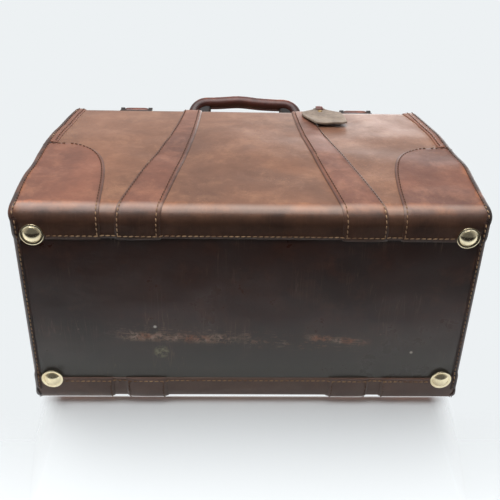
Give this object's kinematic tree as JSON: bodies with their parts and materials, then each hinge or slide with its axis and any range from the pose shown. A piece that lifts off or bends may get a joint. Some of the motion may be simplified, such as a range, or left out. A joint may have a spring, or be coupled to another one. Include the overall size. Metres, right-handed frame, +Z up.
{
  "type": "gladstone bag",
  "caption": "Leather travel bag with a hinged two-jaw frame, rolled handles, closing straps, a hasp lock and domed foot studs.",
  "frame": {"origin": "centre of the bag on the plane that its four studs stand on", "axes": "+X along the bag, +Z up, the front with the lock faces -Y and the back with the tag faces +Y"},
  "size_m": [0.4432, 0.2232, 0.3835],
  "materials": {
    "brown_leather": "mottled mid-brown bridle leather, worn, low gloss",
    "dark_leather": "near-black brown leather, polished and scuffed",
    "red_leather": "dark reddish brown leather, polished",
    "tag_leather": "pale grey-brown leather, dry",
    "lining_cloth": "plain drill cloth",
    "board": "pressed board",
    "stud_brass": "pale aged brass, polished domes",
    "brass": "aged brass",
    "frame_steel": "plain steel"
  },
  "bodies": {
    "bag_body": {"base_panel": "dark_leather", "base_board": "board", "foot_studs": "stud_brass", "stud_washers": "frame_steel", "back_face": "brown_leather", "front_face": "brown_leather", "left_end_panel": "brown_leather", "right_end_panel": "brown_leather", "back_top_panel": "brown_leather", "front_top_panel": "brown_leather", "left_gusset": "dark_leather", "right_gusset": "dark_leather", "lining": "lining_cloth", "inner_pocket": "lining_cloth", "back_left_band": "brown_leather", "back_right_band": "brown_leather", "front_left_band": "brown_leather", "front_right_band": "brown_leather", "back_left_patch": "brown_leather", "back_right_patch": "brown_leather", "front_left_patch": "brown_leather", "front_right_patch": "brown_leather", "end_edge_strips": "dark_leather", "pivot_brackets": "frame_steel", "pivot_pins": "brass", "pivot_washers": "brass", "strap_anchors": "red_leather", "strap_anchor_pins": "brass", "billet_anchors": "red_leather", "billet_anchor_pins": "brass", "tag_strap": "red_leather"},
    "front_jaw_half": {"front_jaw": "frame_steel", "front_jaw_cover": "red_leather", "front_handle_brackets": "brass", "front_handle_pins": "brass", "lock_case": "brass"},
    "back_jaw_half": {"back_jaw": "frame_steel", "back_jaw_cover": "red_leather", "back_handle_brackets": "brass", "back_handle_pins": "brass", "hasp_hinge": "brass", "hasp_pin": "brass"},
    "front_grip": {"front_handle": "red_leather"},
    "back_grip": {"back_handle": "red_leather"},
    "hasp_flap": {"hasp": "brass", "hasp_staple": "brass"},
    "bolt": {"lock_bolt": "brass"},
    "left_strap_piece": {"left_strap": "red_leather", "left_buckle": "brass", "left_keeper": "red_leather"},
    "right_strap_piece": {"right_strap": "red_leather", "right_buckle": "brass", "right_keeper": "red_leather"},
    "left_tongue": {"left_buckle_tongue": "brass"},
    "right_tongue": {"right_buckle_tongue": "brass"},
    "left_billet_piece": {"left_billet": "red_leather"},
    "right_billet_piece": {"right_billet": "red_leather"},
    "tag": {"luggage_tag": "tag_leather", "tag_rivet": "brass"}
  },
  "joints": [
    {"name": "front_jaw_open", "type": "hinge", "parent": "bag_body", "child": "front_jaw_half", "pos_m": [0, 0, 0.262], "axis": [1, 0, 0], "range_deg": [0, 42], "deforming": ["front_top_panel", "back_top_panel", "left_gusset", "right_gusset", "left_billet", "right_billet", "tag_strap"]},
    {"name": "back_jaw_open", "type": "hinge", "parent": "bag_body", "child": "back_jaw_half", "pos_m": [0, 0, 0.262], "axis": [-1, 0, 0], "range_deg": [0, 42]},
    {"name": "hasp_swing", "type": "hinge", "parent": "back_jaw_half", "child": "hasp_flap", "pos_m": [0, 0.012, 0.3399], "axis": [-1, 0, 0], "range_deg": [0, 150]},
    {"name": "bolt_slide", "type": "slide", "parent": "front_jaw_half", "child": "bolt", "axis": [-1, 0, 0], "range_m": [0, 0.006]},
    {"name": "front_handle_swing", "type": "hinge", "parent": "front_jaw_half", "child": "front_grip", "pos_m": [0, -0.0329, 0.33], "axis": [-1, 0, 0], "range_deg": [-66, 60]},
    {"name": "back_handle_swing", "type": "hinge", "parent": "back_jaw_half", "child": "back_grip", "pos_m": [0, 0.0329, 0.33], "axis": [1, 0, 0], "range_deg": [-66, 60]},
    {"name": "left_strap_swing", "type": "hinge", "parent": "bag_body", "child": "left_strap_piece", "pos_m": [-0.1345, 0.0895, 0.2956], "axis": [-1, 0, 0], "range_deg": [0, 190]},
    {"name": "right_strap_swing", "type": "hinge", "parent": "bag_body", "child": "right_strap_piece", "pos_m": [0.1345, 0.0895, 0.2956], "axis": [-1, 0, 0], "range_deg": [0, 190]},
    {"name": "left_tongue_lift", "type": "hinge", "parent": "left_strap_piece", "child": "left_tongue", "pos_m": [-0.1345, -0.0539, 0.31807], "axis": [-1, 0, 0], "range_deg": [0, 90]},
    {"name": "right_tongue_lift", "type": "hinge", "parent": "right_strap_piece", "child": "right_tongue", "pos_m": [0.1345, -0.0539, 0.31807], "axis": [-1, 0, 0], "range_deg": [0, 90]},
    {"name": "left_billet_swing", "type": "hinge", "parent": "bag_body", "child": "left_billet_piece", "pos_m": [-0.1345, -0.0895, 0.2956], "axis": [1, 0, 0], "range_deg": [0, 190]},
    {"name": "right_billet_swing", "type": "hinge", "parent": "bag_body", "child": "right_billet_piece", "pos_m": [0.1345, -0.0895, 0.2956], "axis": [1, 0, 0], "range_deg": [0, 190]},
    {"name": "tag_swing", "type": "hinge", "parent": "bag_body", "child": "tag", "pos_m": [-0.088, 0.1013, 0.281], "axis": [1, 0, 0], "range_deg": [0, 80]}
  ],
  "couplings": [
    {"joint": "back_jaw_open", "follows": "front_jaw_open", "ratio": 1},
    {"joint": "hasp_swing", "follows": "front_jaw_open", "ratio": 3.5714},
    {"joint": "left_strap_swing", "follows": "front_jaw_open", "ratio": 4.5238},
    {"joint": "right_strap_swing", "follows": "front_jaw_open", "ratio": 4.5238},
    {"joint": "left_billet_swing", "follows": "front_jaw_open", "ratio": 4.5238},
    {"joint": "right_billet_swing", "follows": "front_jaw_open", "ratio": 4.5238}
  ]
}
